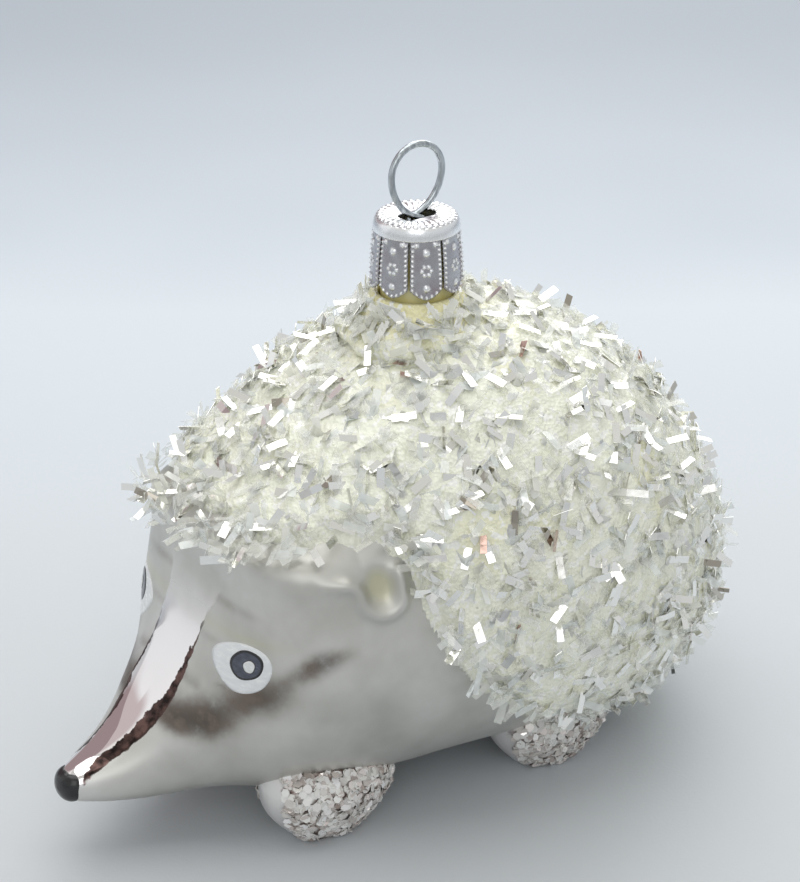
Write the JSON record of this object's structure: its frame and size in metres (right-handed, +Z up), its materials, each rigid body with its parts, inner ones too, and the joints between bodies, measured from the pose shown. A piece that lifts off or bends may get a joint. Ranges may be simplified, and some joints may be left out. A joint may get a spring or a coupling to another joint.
{
  "type": "hedgehog hanging ornament",
  "caption": "Hollow blown-glass hedgehog with a tinsel-chip back, glittered paws, enamel eyes and nose, a stamped crown cap and a spring-wire hanging loop.",
  "frame": {"origin": "on the surface the paws stand on, at the middle of the length and width", "axes": "+Z up, -X towards the nose, -Y towards the animal's left side"},
  "size_m": [0.1048, 0.0698, 0.0878],
  "materials": {
    "silvered_glass": "thin blown glass, silvered inside, with a pearl lacquer outside",
    "tinsel": "cut foil and clear film chips in a cream glue bed",
    "glitter": "pearl six-sided flakes in glue",
    "white_enamel": "off-white enamel paint",
    "grey_enamel": "slate grey enamel paint",
    "black_enamel": "glossy black enamel paint",
    "cap_metal": "bright stamped sheet",
    "spring_wire": "bright drawn wire"
  },
  "bodies": {
    "ornament": {"glass_body": "silvered_glass", "tinsel_coat": "tinsel", "glitter_front_left": "glitter", "glitter_front_right": "glitter", "glitter_rear_left": "glitter", "glitter_rear_right": "glitter", "eye_white_left": "white_enamel", "eye_white_right": "white_enamel", "eye_iris_left": "grey_enamel", "eye_iris_right": "grey_enamel", "eye_glint_left": "white_enamel", "eye_glint_right": "white_enamel", "nose_enamel": "black_enamel"},
    "cap": {"crown_cap": "cap_metal"},
    "hanger": {"hanger_wire": "spring_wire"}
  },
  "joints": [
    {"name": "cap_lift", "type": "slide", "parent": "ornament", "child": "cap", "axis": [0, 0, 1], "range_m": [0, 0.02]},
    {"name": "hanger_pull", "type": "slide", "parent": "cap", "child": "hanger", "axis": [0, 0, 1], "range_m": [0, 0.003]}
  ]
}
